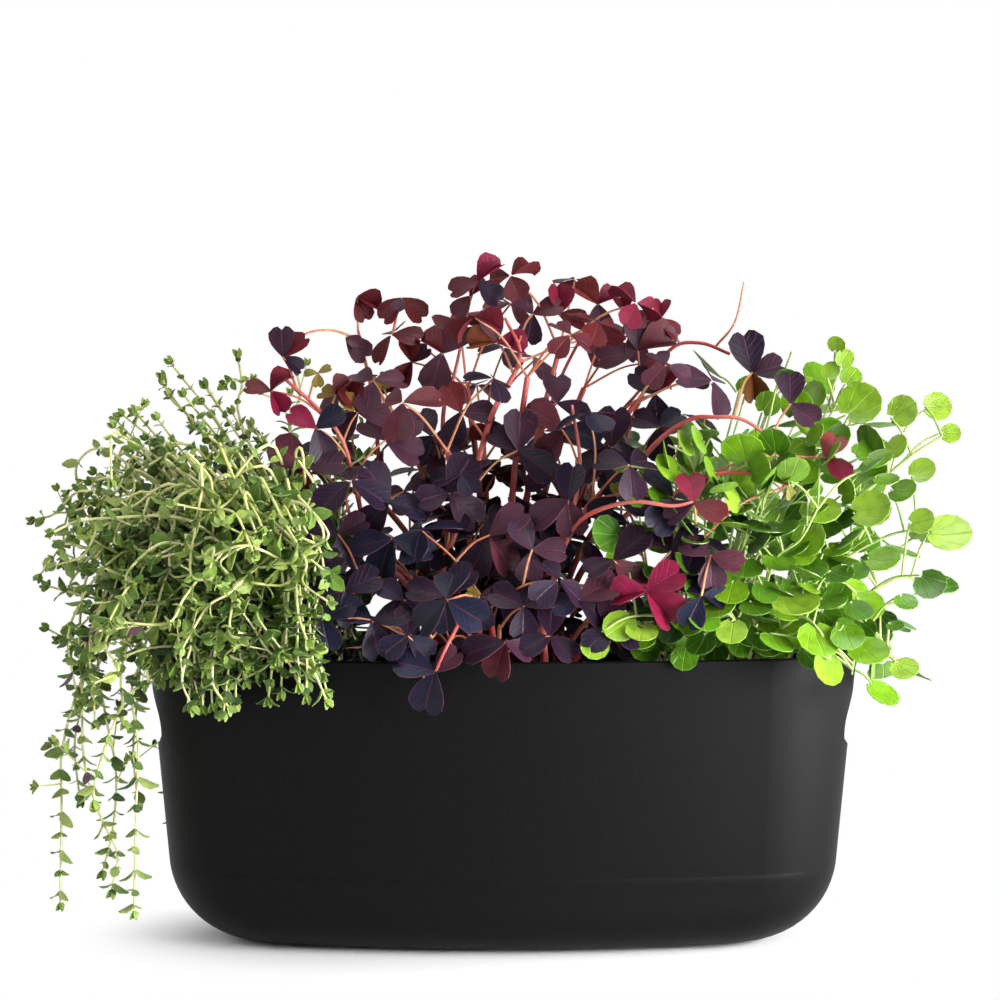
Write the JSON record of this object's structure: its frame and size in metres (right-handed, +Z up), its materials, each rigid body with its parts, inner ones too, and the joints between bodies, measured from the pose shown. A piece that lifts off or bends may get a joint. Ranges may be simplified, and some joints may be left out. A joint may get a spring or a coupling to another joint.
{
  "type": "indoor herb planter",
  "caption": "Oval self-watering planter with a lift-out pot tray over a water reservoir, holding potted thyme, red oxalis and cress on felt mats with wicks.",
  "frame": {"origin": "on the table, under the middle of the tub's base", "axes": "+X along the row of pots, -Y out of the front, +Z up"},
  "size_m": [0.4444, 0.2077, 0.3315],
  "materials": {
    "tub_plastic": "matte black, fine moulded grain",
    "foot_rubber": "matte",
    "tray_plastic": "satin black",
    "felt": "grey needle felt",
    "pot_plastic": "thin black nursery plastic",
    "soil": "moist fibrous potting soil",
    "thyme_stem": "wiry pale stem",
    "thyme_leaf": "small matt leaf",
    "oxalis_stem": "smooth red stem",
    "oxalis_leaf": "dark burgundy leaf",
    "cress_stem": "soft pale green stem",
    "cress_leaf": "fresh green leaf, slight gloss"
  },
  "bodies": {
    "tub": {"outer_shell": "tub_plastic", "rubber_feet": "foot_rubber"},
    "tray": {"pot_tray": "tray_plastic", "thyme_mat": "felt", "thyme_wick": "felt", "oxalis_mat": "felt", "oxalis_wick": "felt", "cress_mat": "felt", "cress_wick": "felt"},
    "thyme_plant": {"thyme_pot": "pot_plastic", "thyme_soil": "soil", "thyme_stems": "thyme_stem", "thyme_leaves": "thyme_leaf"},
    "oxalis_plant": {"oxalis_pot": "pot_plastic", "oxalis_soil": "soil", "oxalis_stems": "oxalis_stem", "oxalis_leaves": "oxalis_leaf"},
    "cress_plant": {"cress_pot": "pot_plastic", "cress_soil": "soil", "cress_stems": "cress_stem", "cress_leaves": "cress_leaf"}
  },
  "joints": [
    {"name": "tray_lift", "type": "slide", "parent": "tub", "child": "tray", "axis": [0, 0, 1], "range_m": [0, 0.16]},
    {"name": "thyme_lift", "type": "slide", "parent": "tray", "child": "thyme_plant", "axis": [0, 0, 1], "range_m": [0, 0.3], "deforming": ["thyme_stems", "thyme_leaves"]},
    {"name": "oxalis_lift", "type": "slide", "parent": "tray", "child": "oxalis_plant", "axis": [0, 0, 1], "range_m": [0, 0.3], "deforming": ["oxalis_stems", "oxalis_leaves"]},
    {"name": "cress_lift", "type": "slide", "parent": "tray", "child": "cress_plant", "axis": [0, 0, 1], "range_m": [0, 0.3], "deforming": ["cress_stems", "cress_leaves"]}
  ]
}
